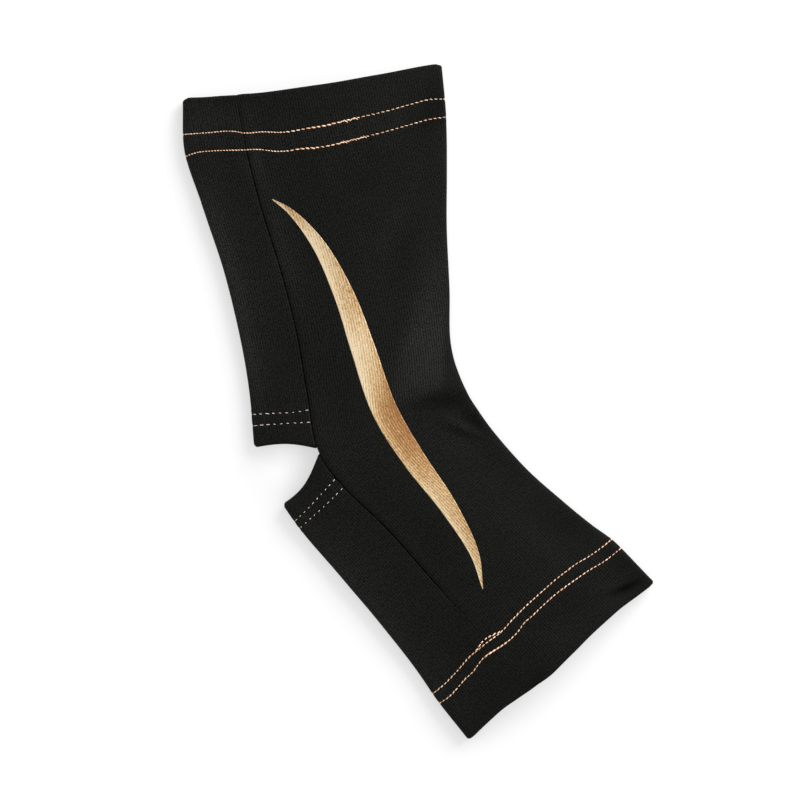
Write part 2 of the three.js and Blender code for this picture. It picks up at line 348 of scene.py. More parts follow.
def hump(value, middle, width):  # 1 in the middle, falling off to both sides
    return np.exp(-(((value - middle) / width) ** 2))


def mound(spot, x, y):
    midX, midY, heading, reach, width, height = spot
    turn = math.radians(heading)
    alongIt = (x - midX) * math.cos(turn) + (y - midY) * math.sin(turn)
    aside = (y - midY) * math.cos(turn) - (x - midX) * math.sin(turn)
    return height * np.exp(-((alongIt / reach) ** 2) - (aside / width) ** 2)


def hemRelief(hem, distance, across, share, near):  # the step, the puckers and the grooves of a hem
    rows = [profile(row, share) for row in hem["rows"]]
    sway, swayLength = relief["puckerSway"]
    wander = across / relief["puckerLength"] + sway * np.sin(across / swayLength)
    wander = wander + distance / relief["puckerSlant"]
    gather = hump(distance, (rows[0] + rows[1]) / 2, relief["puckerReach"])
    raised = relief["hemStep"] * (1 - smooth(*relief["hemFade"], distance - rows[1]))
    raised = raised + relief["pucker"] * np.sin(2 * math.pi * wander) * gather
    pulled = sum(hump(distance, row, relief["grooveWidth"]) for row in rows)
    return np.where(distance > -relief["hemBefore"], near * raised - relief["groove"] * pulled, 0)


def reliefAt(side, turn, along, strip):  # how far the cloth stands out from its plain section
    along = along + 0 * turn
    at = place(side, turn, along, 0 * turn, strip)
    x, y = at[..., 0], at[..., 1]
    section = sectionAt(rowAt(along))
    across, _ = spotAt(section, side, turn, 0)
    near = nearShare(turn)
    lift = sum(mound(fold, x, y) for fold in relief["folds"])
    for length, heading, height in relief["waves"]:
        angle = math.radians(heading)
        lift = lift + height * np.sin(2 * math.pi * (x * math.cos(angle) + y * math.sin(angle)) / length)
    if side > 0:
        beside = across - section["strip"]
        lift = lift + relief["seamRidge"] * hump(beside, relief["seamRidgeAt"], relief["seamRidgeWidth"])
    lift = near * lift
    for hem in hems.values():
        if strip or not hem["strip"]:
            share = across / section["strip" if hem["strip"] else "width"]
            lift = lift + hemRelief(hem, fromEdge(hem, along), across, share, near)
    return lift


# Rows of a cloth that turns in at its edges. Each has an anchor along the seam, the side of the edge that it
# belongs to, a phase round that edge, and a reach beyond it on the inside.
def turnedRows(start, end, startFine, endFine, fine=0.6, coarse=1.15):
    radius = sleeve["rimRadius"]
    phases = np.linspace(math.pi, 0, sleeve["rimSteps"])[:-1]
    ahead = [(start + radius, 1, math.pi, extra) for extra in sleeve["rimReturn"]]
    ahead += [(start + radius, 1, phase, 0) for phase in phases]
    behind = [(end - radius, -1, phase, extra) for _, _, phase, extra in reversed(ahead)]
    stops = [start + radius, start + startFine, end - endFine, end - radius]
    body = []
    for low, high, step in zip(stops[:-1], stops[1:], (fine, coarse, fine)):
        count = max(2, round((high - low) / step))
        body += [(low + (high - low) * k / count, 0, 0, 0) for k in range(count)]
    body.append((stops[-1], 0, 0, 0))
    made = np.array(ahead + body + behind).T
    return dict(zip(("anchor", "side", "phase", "extra"), made[:, :, None]))


def wrap(rows, offset):  # along and depth of the cloth at an offset under its outside
    reach = sleeve["rimRadius"] - offset
    shift = rows["extra"] - reach * np.sin(rows["phase"])
    depth = np.where(rows["side"] == 0, offset, sleeve["rimRadius"] - reach * np.cos(rows["phase"]))
    return rows["anchor"] + rows["side"] * shift, depth


def layCloth(side, rows, turn, offset, strip):
    along, _ = wrap(rows, 0 * turn)
    lift = reliefAt(side, turn, along, strip) * (1 + np.cos(rows["phase"])) / 2
    along, depth = wrap(rows, offset - lift)
    depth = np.where(turn > sleeve["floorTurn"], np.maximum(depth, 0), depth)  # nothing goes under the floor
    return place(side, turn, along, depth, strip)


def rolled(distance, along):  # depth of a panel's outside near its seam, where the cloth rounds over
    share = np.clip(1 - distance / sleeve["seamRoll"], 0, 1)
    return sleeve["rollDepth"] * sleeve["cloth"] * seamOpen(along) * (1 - np.sqrt(1 - share ** 2))


edgeColumns = np.array([0, 0.06, 0.18, 0.36, 0.64])  # over the rounded edge, as shares of its rounding
lapColumns = np.array([1, 0.8, 0.6, 0.4, 0.22, 0.1, 0.04])  # over the lap, as shares of its width


def columnsOf(side, anchor, counts, lapShare=None):  # turns of the columns of each row, from seam to seam
    nearCount, foldCount, farCount = counts
    section = sectionAt(rowAt(anchor))
    fold = sleeve["foldRadius"]
    nearArc = np.abs(side * section["foldAngle"] - section["seamAngle"]) * section["radius"]
    middle = section["width"] - fold if side > 0 else fold + 0 * section["width"]
    farArc = np.abs(section["strip"] - middle)
    roll = sleeve["seamRoll"]
    edge = roll * edgeColumns[None, :] + 0 * anchor
    if lapShare is not None:
        lapEdge = -sleeve["seamLap"] * lapColumns[None, :] * lapShare
        edge = np.concatenate([lapEdge, edge], axis=1)
    gap = seamGapAt(anchor)
    nearStart = (gap + roll) / nearArc
    farStart = (gap + roll) / farArc
    nearBody = nearStart + (1 - nearStart) * np.linspace(0, 1, nearCount, endpoint=False)[None, :]
    onFold = 1 + np.linspace(0, 1, foldCount, endpoint=False)[None, :] + 0 * anchor
    farBody = 2 + (1 - farStart) * np.linspace(0, 1, farCount)[None, :]
    nearEdge = (gap + edge) / nearArc
    farEdge = 3 - (gap + edge[:, ::-1]) / farArc
    turn = np.concatenate([nearEdge, nearBody, onFold, farBody, farEdge], axis=1)
    fromSeam = np.where(turn < 1.5, turn * nearArc, (3 - turn) * farArc) - gap  # from the nearer seam
    return turn, fromSeam


def stepsThrough(stops, counts, endpoint=False):  # even steps between one stop and the next
    spans = zip(stops[:-1], stops[1:], counts)
    return np.concatenate([np.linspace(low, high, count, endpoint=endpoint) for low, high, count in spans])


def arcAlong(points, axis=0):  # length from the first point to each
    steps = np.linalg.norm(np.diff(points, axis=axis), axis=-1)
    return np.concatenate([0 * np.take(steps, [0], axis=axis), np.cumsum(steps, axis=axis)], axis=axis)


def knitCoordinates(side, rows, turn, strip):  # the cloth laid flat, in millimetres from the seam
    anchor = rows["anchor"]
    arc = arcAlong(place(side, turn, anchor + 0 * turn, 0 * turn, strip), axis=1)
    arc = arc - np.max(np.where(turn < 0, arc, 0), axis=1, keepdims=True)  # leaves out a lap
    path = rows["side"] * (sleeve["rimRadius"] * rows["phase"] + rows["extra"])
    return np.stack([arc, 0 * arc + anchor - path], axis=-1)


# Meshes
def meshPiece(name, points, faces, material, coordinates, pale):
    mesh = bpy.data.meshes.new(name)
    mesh.from_pydata((np.asarray(points) * mm).tolist(), [], faces)
    mesh.materials.append(material)
    corner = np.empty(len(mesh.loops), dtype=np.int32)
    mesh.loops.foreach_get("vertex_index", corner)
    layer = mesh.uv_layers.new(name="cloth")
    layer.data.foreach_set("uv", np.asarray(coordinates, dtype=np.float32)[corner].ravel())
    layer = mesh.attributes.new("pale", "FLOAT", "POINT")
    layer.data.foreach_set("value", np.asarray(pale, dtype=np.float32))
    mesh.shade_smooth()
    mesh.update()
    piece = bpy.data.objects.new(name, mesh)
    bpy.context.scene.collection.objects.link(piece)
    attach(piece, "root")
    return piece


def sheetFaces(rowCount, columnCount, closed=False):  # two layers of a grid, joined along their rims
    number = np.arange(2 * rowCount * columnCount).reshape(2, rowCount, columnCount)
    if closed:
        number = np.concatenate([number, number[:, :, :1]], axis=2)
    outer, inner = number
    quads = [
        (outer[:-1, :-1], outer[1:, :-1], outer[1:, 1:], outer[:-1, 1:]),
        (inner[:-1, :-1], inner[:-1, 1:], inner[1:, 1:], inner[1:, :-1]),
        (outer[0, :-1], outer[0, 1:], inner[0, 1:], inner[0, :-1]),
        (outer[-1, :-1], inner[-1, :-1], inner[-1, 1:], outer[-1, 1:]),
    ]
    if not closed:
        quads += [
            (outer[:-1, 0], inner[:-1, 0], inner[1:, 0], outer[1:, 0]),
            (outer[:-1, -1], outer[1:, -1], inner[1:, -1], inner[:-1, -1]),
        ]
    return np.concatenate([np.stack(quad, axis=-1).reshape(-1, 4) for quad in quads]).tolist()


def sheetPiece(name, outer, inner, coordinates, material, flip=False, closed=False):
    if flip:
        outer, inner, coordinates = (grid[:, ::-1] for grid in (outer, inner, coordinates))
    points = np.concatenate([outer.reshape(-1, 3), inner.reshape(-1, 3)])
    spread = np.concatenate([coordinates.reshape(-1, 2)] * 2)
    faces = sheetFaces(outer.shape[0], outer.shape[1], closed)
    return meshPiece(name, points, faces, material, spread, paintedSheenAndShadeAt(points))


# Painted sheen and painted shade on the near side: lighter where the cloth catches the light, darker in and
# beside its creases.
# Each has x, y, heading, half length, half width and tone, then any lines that cut it off, as a point, a
# heading and a softness
tones = [
    (3.0, 22.0, 78, 30.0, 16.0, 1.0,  # beside the bend
     (2.6, 2.2, 22, 2.0), (-8.8, 14.4, 254, 4.5), (10.8, 20.0, 88, 2.0)),
    (-10.2, 70.4, 63, 24.0, 3.5, 0.16),  # shin
    (-5.0, 60.0, 69, 16.0, 3.5, -0.16),
    (-20.0, 86.0, 0, 26.0, 13.0, -0.1),
    (7.0, 117.0, 80, 13.0, 8.0, -0.45),
    (10.0, -0.6, 10, 11.0, 4.4, -0.52),  # creases at the bend
    (23.0, -8.8, -40, 5.0, 3.0, -0.3),
    (19.0, -10.4, -25, 8.0, 1.6, 0.4),
    (15.8, -12.9, -20, 7.0, 1.4, -0.3),
    (23.0, -8.0, -47, 13.0, 6.0, -0.34),  # instep
    (40.0, -28.0, -45, 20.0, 7.0, -0.2),
    (64.0, -51.0, -40, 16.0, 5.0, -0.28),
    (86.0, -68.0, -45, 12.0, 8.0, -0.45),
    (53.0, -49.0, -45, 10.0, 5.0, -0.16),
    (62.0, -78.0, 45, 14.0, 10.0, -0.16),
    (6.0, -56.0, -60, 14.0, 6.0, -0.12),
    (53.0, -58.8, -42, 14.0, 4.0, 0.14),
    (-57.0, 72.0, -72, 32.0, 6.0, 0.42),  # beside the seam
    (-34.0, 106.0, 6, 24.0, 5.0, 0.18),
    (-78.0, 60.0, -72, 60.0, 14.0, 0.85),  # strip behind the leg
    (-79.4, 62.0, -72, 26.0, 4.5, 0.88),
    (-69.0, 22.0, -79, 22.0, 4.5, 0.88),
    (-66.0, 10.0, -79, 12.0, 4.5, 0.35),
    (-55.0, 58.0, -75, 12.0, 3.0, 0.2),
    (-67.0, 94.0, -75, 8.0, 4.0, 0.25),
    (-84.0, 112.0, 0, 18.0, 7.0, 0.48),
    (-30.0, -22.0, -60, 24.0, 9.0, 0.2),  # heel
    (-20.0, -80.0, -52, 60.0, 14.0, 0.72),  # strip under the foot
    (-19.2, -82.4, -51, 50.0, 3.6, 0.5),
    (82.4, -75.2, 25, 6.0, 1.2, -0.7),  # foot corner
    (80.0, -71.4, 25, 8.0, 2.4, 0.22),
    (-64.6, 100.0, -78, 12.0, 1.6, 0.35),  # pleat by the seam
    (57.0, -94.0, 45, 10.0, 6.0, 0.16),  # by the foot edge
    (46.0, -112.6, 40, 5.0, 3.0, -0.2),
]
toneRise = (2.8, 4.4)  # heights over which the painted sheen and shade of the near side set in


def toneOf(tone, x, y):
    made = mound(tone[:6], x, y)
    for midX, midY, heading, soft in tone[6:]:  # nothing is left right of the line
        turn = math.radians(heading)
        made = made * smooth(-soft, soft, (y - midY) * math.cos(turn) - (x - midX) * math.sin(turn))
    return made


# painted sheen and shade for the cloth's vertices, on the near side only, which stands high
def paintedSheenAndShadeAt(points):
    x, y, height = points.T
    return smooth(*toneRise, height) * sum(toneOf(tone, x, y) for tone in tones)


# Shading
class Shade:  # wraps a socket, so that sums of sockets add their own Math nodes
    def __init__(self, finish, socket):
        self.finish = finish
        self.socket = socket

    def maths(self, operation, *values):
        return self.finish.node("ShaderNodeMath", {"operation": operation}, dict(enumerate(values)))

    def __add__(self, other):
        return self.maths("ADD", self, other)

    def __radd__(self, other):
        return self.maths("ADD", other, self)

    def __sub__(self, other):
        return self.maths("SUBTRACT", self, other)

    def __rsub__(self, other):
        return self.maths("SUBTRACT", other, self)

    def __mul__(self, other):
        return self.maths("MULTIPLY", self, other)

    def __rmul__(self, other):
        return self.maths("MULTIPLY", other, self)

    def __truediv__(self, other):
        return self.maths("DIVIDE", self, other)

    def __rtruediv__(self, other):
        return self.maths("DIVIDE", other, self)

    def __pow__(self, other):
        return self.maths("POWER", self, other)

    def apply(self, operation):
        return self.maths(operation, self)


class Finish:
    def __init__(self, name):
        self.material = bpy.data.materials.new(name)
        self.material.use_nodes = True
        self.tree = self.material.node_tree
        self.surface = self.tree.nodes["Principled BSDF"]

    def feed(self, socket, value):
        if isinstance(value, Shade):
            self.tree.links.new(value.socket, socket)
        else:
            socket.default_value = value

    def node(self, kind, settings=None, sockets=None, output=0):
        made = self.tree.nodes.new(kind)
        for name, value in (settings or {}).items():
            if name == "stops":
                ramp = made.color_ramp
                while len(ramp.elements) < len(value):
                    ramp.elements.new(1)
                for element, (position, colour) in zip(ramp.elements, value):
                    element.position = position
                    element.color = (*colour, 1)
            else:
                setattr(made, name, value)
        for name, value in (sockets or {}).items():
            self.feed(made.inputs[name], value)
        return Shade(self, made.outputs[output])

    def scale(self, colour, factor):
        return self.node("ShaderNodeVectorMath", {"operation": "SCALE"}, {0: colour, "Scale": factor})

    def noise(self, vector, scale, detail=1.0):
        return self.node("ShaderNodeTexNoise", None, {"Vector": vector, "Scale": scale, "Detail": detail})

    def stretchedNoise(self, across, along, scales):
        stretched = self.node("ShaderNodeCombineXYZ", None, {0: across * scales[0], 1: along * scales[1]})
        return self.noise(stretched, 1.0)

    def painted(self):  # the tone painted on the vertices: painted sheen and shade on the cloth, browning and painted glint on the film, painted highlight on the thread
        return self.node("ShaderNodeAttribute", {"attribute_name": "pale"}, output="Fac")

    def ramp(self, stops, share):
        return self.node("ShaderNodeValToRGB", {"stops": stops}, {0: share})

    def bumped(self, look, height):
        return self.node("ShaderNodeBump", None, {
            "Strength": look["bump"], "Distance": look["relief"] * mm, "Height": height})

    def parts(self, vector):
        first = self.node("ShaderNodeSeparateXYZ", None, {0: vector}, "X")
        return first, Shade(self, first.socket.node.outputs["Y"])

    def coordinates(self):  # the flat cloth, then across it and along it
        flat = self.node("ShaderNodeUVMap", {"uv_map": "cloth"})
        return flat, *self.parts(flat)

    def set(self, values):
        for name, value in values.items():
            self.feed(self.surface.inputs[name], value)


loops = {"lean": 1.3, "strand": 0.45, "wave": 0.35, "crown": 0.3}  # the shape of one knitted loop


def waleSide(across, wale):  # 0 in the middle of a wale, 0.5 at its sides
    return ((across / wale).apply("FRACT") - 0.5).apply("ABSOLUTE")


def knitHeight(across, along, look):  # columns of small V loops
    aside = waleSide(across, look["wale"])
    strand = 1 - ((aside - 0.25) * 4) ** 2  # one to each side of the wale's middle
    phase = along / look["course"] + aside * loops["lean"]
    wave = 0.5 + 0.5 * (phase * (2 * math.pi)).apply("COSINE")
    crown = 1 - aside * 2
    return strand * (loops["strand"] + loops["wave"] * wave) + crown * loops["crown"]


def knitFinish(name, look):  # each grain is taken from its own mean, so that it leaves the tone as it is
    finish = Finish(name)
    flat, across, along = finish.coordinates()
    height = knitHeight(across, along, look)
    cloudy = finish.noise(flat, look["cloudScale"], 3.0)
    mottle = finish.noise(flat, look["mottleScale"], 2.0)
    speck = finish.noise(flat, look["speckScale"])
    rib = waleSide(across, look["wale"]) * 2
    # lighter loops and darker gaps between ribs: painted shade in the hollows of the knit
    tone = look["ground"] + look["loops"] * height - look["gap"] * (rib ** 2 - 0.33)
    tone = tone + look["cloud"] * (cloudy - 0.5) + look["mottle"] * (mottle - 0.5)
    # the painted sheen and shade from the vertices lighten or darken the whole tone
    tone = (tone + look["speck"] * (speck - 0.5)) * (1 + finish.painted())
    finish.set({
        "Base Color": finish.scale(look["colour"], tone),
        "Roughness": look["roughness"],
        "Specular IOR Level": look["gloss"],
        "Sheen Weight": look["sheen"],
        "Sheen Roughness": look["sheenRoughness"],
        "Normal": finish.bumped(look, height + look["fuzz"] * speck),
    })
    return finish.material


knitLook = {
    "colour": (0.0056, 0.0056, 0.0051), "wale": 1.05, "course": 0.85, "bump": 0.8, "relief": 0.25,
    "ground": 0.25, "loops": 1.4, "gap": 0.85, "fuzz": 0.35,  # tone of the ground, the loops and between ribs: lighter loops and darker gaps are painted shade in the hollows of the knit
    "cloudScale": 0.11, "cloud": 0.45, "mottleScale": 0.5, "mottle": 0.7, "speckScale": 1.4, "speck": 3.6,
    "roughness": 0.88, "gloss": 0.05, "sheen": 0.01, "sheenRoughness": 0.45,
}
bandLook = {**knitLook, "colour": (0.0052, 0.0051, 0.0047), "wale": 0.85, "course": 0.9, "bump": 0.6}
blackKnit = knitFinish("blackKnit", knitLook)
bandKnit = knitFinish("bandKnit", bandLook)

filmLook = {
    # colours from the palest to the brownest, as shares of the way between the two
    "tones": [(0, (0.65, 0.53, 0.355)), (0.19, (0.563, 0.428, 0.252)), (0.5, (0.412, 0.27, 0.124)),
              (0.72, (0.31, 0.152, 0.044)), (1, (0.185, 0.076, 0.019))],
    "least": -0.3, "most": 1.3, "wale": 1.05, "course": 0.85, "bump": 0.4, "relief": 0.12,
    "browning": 0.35, "patch": 0.4, "streak": 1.5, "fleck": 1.6, "gap": 0.8,  # what the browning is made of
    "patchScale": 0.06, "streakScale": (2.4, 0.5), "fleckScale": (2.6, 1.5), "fleckRelief": 0.5,
    "roughness": 0.6, "roughSpread": 0.25, "metal": 0.45,
}


def filmFinish(look):
    finish = Finish("copperFilm")
    flat, across, along = finish.coordinates()
    height = knitHeight(across, along, look)
    patch = finish.noise(flat, look["patchScale"])
    streak = finish.stretchedNoise(across, along, look["streakScale"])
    fleck = finish.stretchedNoise(across, along, look["fleckScale"])
    rib = waleSide(across, look["wale"]) * 2
    browningLessGlint = look["browning"] + finish.painted() + look["patch"] * (patch - 0.5) + look["streak"] * (streak - 0.5)
    browningLessGlint = browningLessGlint + look["fleck"] * (fleck - 0.5) + look["gap"] * (rib ** 3 - 0.25) * (fleck + 0.5)
    finish.set({
        "Base Color": finish.ramp(look["tones"], (browningLessGlint - look["least"]) / (look["most"] - look["least"])),
        "Roughness": look["roughness"] + look["roughSpread"] * (fleck - 0.5),
        "Metallic": look["metal"],
        "Normal": finish.bumped(look, height + look["fleckRelief"] * fleck),
    })
    return finish.material


threadLook = {
    # colours from its flanks, in painted shade, to its top, in painted highlight, then of the paler thread at
    # the heel
    "tones": [(0, (0.5, 0.19, 0.055)), (0.6, (0.98, 0.75, 0.56)), (1, (0.96, 0.89, 0.84))],
    "roughness": 0.36, "bump": 0.5, "relief": 0.08,
    "plies": 2, "twist": 2.2, "twistTone": 0.2, "patchScale": 0.35, "patchTone": 0.3,
}


def threadFinish(look):
    finish = Finish("copperThread")
    flat, across, along = finish.coordinates()
    turns = across * look["plies"] + along * look["twist"]
    twist = 0.5 + 0.5 * (turns * (2 * math.pi)).apply("SINE")
    patch = finish.noise(flat, look["patchScale"])
    # the painted highlight on the top of the thread, and the twist tone, which darkens the grooves between
    # its plies as painted shade
    shade = finish.painted() + look["twistTone"] * (twist - 0.5) + look["patchTone"] * (patch - 0.5)
    finish.set({
        "Base Color": finish.ramp(look["tones"], shade),
        "Roughness": look["roughness"],
        "Normal": finish.bumped(look, twist),
    })
    return finish.material


copperFilm = filmFinish(filmLook)
copperThread = threadFinish(threadLook)
print("finishes made")

# Floor, light and camera
studio = {
    "floorHalf": 3.0, "floorColour": (0.37, 0.37, 0.37, 1), "floorRoughness": 0.8, "floorGlow": 0.53,
    "white": (1, 1, 1), "sky": 0.85,
    "keyWay": (0.62, 0.66, 0.46), "keyDistance": 1.6, "keySize": 1.2, "keyPower": 42.0,
    "viewMiddle": (-0.007, 0.0004, 0.003), "viewWidth": 0.32, "cameraHeight": 2.6, "sensor": 36.0,
    "farthest": 20.0,
    "heelSpot": (-0.0532, -0.0251), "heelReach": 0.0085, "heelGlow": 0.3,  # painted light: the floor glows brighter in the heel opening, lifting the shadow there
}


def floorFinish(look):  # glows evenly as if lit from below, and more in the heel opening as painted light
    finish = Finish("paleFloor")
    x, y = finish.parts(finish.node("ShaderNodeTexCoord", output="Object"))
    spotX, spotY = look["heelSpot"]
    right = (x - spotX) / look["heelReach"]
    up = (y - spotY) / look["heelReach"]
    heelLightPool = (-1 * (right * right + up * up)).apply("EXPONENT")
    finish.set({
        "Base Color": look["floorColour"],
        "Roughness": look["floorRoughness"],
        "Specular IOR Level": 0.0,
        "Emission Color": finish.scale(look["white"], 1 + look["heelGlow"] * heelLightPool),
        "Emission Strength": look["floorGlow"],
    })
    return finish.material


def makeStudio(look):
    half = look["floorHalf"]
    mesh = bpy.data.meshes.new("floor")
    corners = [(-half, -half, 0), (half, -half, 0), (half, half, 0), (-half, half, 0)]
    mesh.from_pydata(corners, [], [(0, 1, 2, 3)])
    floor = bpy.data.objects.new("floor", mesh)
    mesh.materials.append(floorFinish(look))
    key = bpy.data.lights.new("keyLight", "AREA")
    key.size = look["keySize"]
    key.energy = look["keyPower"]
    lamp = bpy.data.objects.new("keyLight", key)
    way = Vector(look["keyWay"]).normalized()
    lamp.location = way * look["keyDistance"]
    lamp.rotation_euler = way.to_track_quat("Z", "Y").to_euler()
    lens = bpy.data.cameras.new("camera")
    lens.sensor_width = look["sensor"]
    lens.lens = look["sensor"] * look["cameraHeight"] / look["viewWidth"]
    lens.clip_end = look["farthest"]
    camera = bpy.data.objects.new("camera", lens)
    camera.location = Vector(look["viewMiddle"]) + Vector((0, 0, look["cameraHeight"]))
    for item in (floor, lamp, camera):
        bpy.context.scene.collection.objects.link(item)
    scene = bpy.context.scene
    scene.camera = camera
    scene.view_settings.view_transform = "Standard"
    world = bpy.data.worlds.new("studio")
    world.use_nodes = True
    sky = world.node_tree.nodes["Background"]
    sky.inputs["Color"].default_value = (*look["white"], 1)
    sky.inputs["Strength"].default_value = look["sky"]
    scene.world = world


makeStudio(studio)
print("studio made")

# Panels: "columns" are near, round the fold and far
panels = {
    "front_panel": {"side": 1, "start": 0.0, "end": wholeLength, "columns": (76, 12, 30),
                    "hems": ("calf", "foot"), "flat": (0.21, 0.29), "area": 0.0365},
    "back_panel": {"side": -1, "start": 0.0, "end": backEnd, "columns": (28, 12, 14),
                   "hems": ("calf", "backHeel"), "flat": (0.072, 0.15), "area": 0.0092},
    "sole_panel": {"side": -1, "start": soleStart, "end": wholeLength, "columns": (28, 12, 14),
                   "hems": ("soleHeel", "foot"), "flat": (0.074, 0.132), "area": 0.009},
}
finePast = 3.0  # the close rows of a hem go on this far past its band
# The lap of a strip under the front panel. It leaves out the turned edges, and is pressed thin where a hem's
# band lies behind it.
lap = {
    "least": 0.05,  # share of its width left along a turned edge
    "widens": (3.0, 4.2),  # distance from the edge over which it reaches its full width
    "thickens": (0.6, 2.6),  # and distance past a band over which it reaches its full thickness
    "thin": 0.2,
    "drop": 0.15,  # how much lower it lies where it is thick
    "step": 0.2,  # width over which the cloth steps down to it
}


def lapDepths(fromSeam, fromStart, fromEnd, bandDepths, outside, inside):
    full = 1
    for distance, depth in zip((fromStart, fromEnd), bandDepths):
        full = full * smooth(*lap["thickens"], distance - depth)
    under = smooth(0, lap["step"], -fromSeam)
    top = sleeve["cloth"] + sleeve["lapGap"] + lap["drop"] * full
    thickness = lap["thin"] + (sleeve["cloth"] - lap["thin"]) * full
    return outside + under * (top - outside), inside + under * (top + thickness - inside)


def makePanel(name, size):
    side = size["side"]
    strip = side < 0
    bandDepths = [hems[hem]["depth"] for hem in size["hems"]]
    rows = turnedRows(size["start"], size["end"], *(depth + finePast for depth in bandDepths))
    fromStart = rows["anchor"] - size["start"]
    fromEnd = size["end"] - rows["anchor"]
    lapShare = opening(lap["least"], lap["widens"], np.minimum(fromStart, fromEnd)) if strip else None
    turn, fromSeam = columnsOf(side, rows["anchor"], size["columns"], lapShare)
    outside = rolled(fromSeam, rows["anchor"])
    inside = sleeve["cloth"] + 0 * turn
    if strip:
        outside, inside = lapDepths(fromSeam, fromStart, fromEnd, bandDepths, outside, inside)
    outer, inner = (layCloth(side, rows, turn, depth, strip) for depth in (outside, inside))
    spread = knitCoordinates(side, rows, turn, strip)
    piece = sheetPiece(name + "_cloth", outer, inner, spread, blackKnit, flip=strip)
    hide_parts(name)
    return piece


frontPanel, backPanel, solePanel = (makePanel(name, size) for name, size in panels.items())
print("panels made")

# Bands turned in behind the hems
bands = {
    "calf_hem": {"hem": "calf", "flat": (0.21, 0.026)},
    "foot_hem": {"hem": "foot", "flat": (0.2, 0.028)},
    "back_heel_hem": {"hem": "backHeel", "flat": (0.054, 0.015)},
    "sole_heel_hem": {"hem": "soleHeel", "flat": (0.052, 0.015)},
}
# Columns of a band: on a strip alone, or right round, over the front panel and back over the strip
bandColumns = {"heel": (20, 12, 12), "front": (60, 12, 40), "strip": (16, 12, 20)}


def bandRows(hem, step=0.9):
    start = sleeve["rimRadius"] + sleeve["rimReturn"][0] + sleeve["bandStart"]
    distance = np.linspace(start, hem["depth"], round((hem["depth"] - start) / step))
    along = np.sort(alongOf(hem, distance))[:, None]
    return {"anchor": along, "side": 0 * along, "phase": 0 * along, "extra": 0 * along}


def makeBand(name, size):
    hem = hems[size["hem"]]
    rows = bandRows(hem)
    anchor = rows["anchor"]
    outside = sleeve["cloth"] + sleeve["hemGap"]
    depths = (outside, outside + sleeve["cloth"])
    if hem["strip"]:
        turn, _ = columnsOf(-1, anchor, bandColumns["heel"])
        outer, inner = (layCloth(-1, rows, turn, depth + 0 * turn, True) for depth in depths)
        spread = knitCoordinates(-1, rows, turn, True)
    else:
        front = stepsThrough((0, 1, 2, 3), bandColumns["front"])[None, :] + 0 * anchor
        strip = stepsThrough((3, 2, 1, 0), bandColumns["strip"])[None, :] + 0 * anchor
        outer, inner = (np.concatenate([
            layCloth(side, rows, turn, depth + 0 * turn, False) for side, turn in ((1, front), (-1, strip))
        ], axis=1) for depth in depths)
        arc = arcAlong(outer, axis=1)
        spread = np.stack([arc, anchor + 0 * arc], axis=-1)
    piece = sheetPiece(
        name + "_band", outer, inner, spread, bandKnit, flip=hem["strip"], closed=not hem["strip"])
    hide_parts(name)
    return piece


calfBand, footBand, backHeelBand, soleHeelBand = (makeBand(name, size) for name, size in bands.items())
print("bands made")

# Stitches. Shares are of the flat width, or of the strip.
plainStitch = {
    "slim": (0, 0),  # share from which the thread is slimmer, and by how much
    "fine": (0, 1, 1),  # share up to which stitches are finer, and the factors on their length and girth
    "long": (0, 1),  # share up to which stitches are longer, and the factor
    "early": 0,  # how far ahead the first one starts, in pitches
    "bright": 0,  # how much paler the thread is
    "doubles": [],  # second runs: row, share from and to, bow aside, zigzag in degrees, lag in pitches, girth
}
stitches = {
    "calf_stitches": {
        **plainStitch, "hem": "calf", "pitch": 2.05, "dash": 1.75, "radius": 0.245, "rise": 0.16,
        "sink": 0.02, "lean": 9, "slim": (0.66, 0.33), "fine": (0.39, 0.6, 0.84),
        "doubles": [(0, 0.471, 0.578, 0.2, 0, 0.1, 1.25), (0, 0.575, 0.66, 0.25, 36, 0.5, 0.85),
                    (1, 0.42, 0.5, 0.2, 0, 0.1, 1.1), (1, 0.58, 0.68, 0.12, 32, 0.5, 0.75)],
    },
    "foot_stitches": {
        **plainStitch, "hem": "foot", "pitch": 1.85, "dash": 1.72, "radius": 0.23, "rise": 0.16,
        "sink": 0.03, "lean": 7, "slim": (0.8, 0.12),
        "doubles": [(1, 0.246, 0.388, 1.5, 0, 0.4, 1.15), (0, 0.262, 0.384, 0.1, 0, 0.1, 1.55)],
    },
    "back_heel_stitches": {
        **plainStitch, "hem": "backHeel", "pitch": 2.73, "dash": 1.7, "radius": 0.112, "rise": 0.06,
        "sink": 0.03, "lean": 5, "slim": (0.35, 0.12), "long": (0.36, 1.6), "early": 0.25, "bright": 0.5,
    },
    "sole_heel_stitches": {
        **plainStitch, "hem": "soleHeel", "pitch": 2.62, "dash": 1.5, "radius": 0.114, "rise": 0.06,
        "sink": 0.03, "lean": 5, "early": 0.2, "bright": 0.5,
    },
}
# How every stitch lies and is shaped
thread = {
    "steps": 7, "sides": 8,
    "dip": 0.28,  # its ends go this far into the cloth
    "arch": 0.7,  # power of the sine that it rises and swells by: less is squarer
    "ends": 0.45,  # share of its girth at the ends
    "jitter": 0.05, "sizeJitter": 2.0, "leanJitter": 1.6,  # of its place, and the factors for size and lean
    "slimBlend": 0.03,  # share over which it grows slimmer
    "underneath": (1.6, 2.0),  # turns from which it is held up off the floor
    "held": 0.7,  # and the share of its radius that stays clear
    "floor": 0.02,
    "highlight": 0.6, "highlightEnds": 0.1, "highlightPower": 1.2, "highlightFrom": 0.55, "highlightSpread": 0.25,  # painted highlight along the top of each stitch
    "patchStep": 7.3,  # from one stitch to the next in the noise
}
outward = 0.2  # lift that shows which way is out
# Points of a stitch row's path from stop to stop
pathSteps = {"heel": (300, 200, 200), "front": (700, 200, 500), "strip": (200, 200, 300)}
heelStops = (0.02, 1, 2, 2.97)  # the rows at the heel end just short of the seams


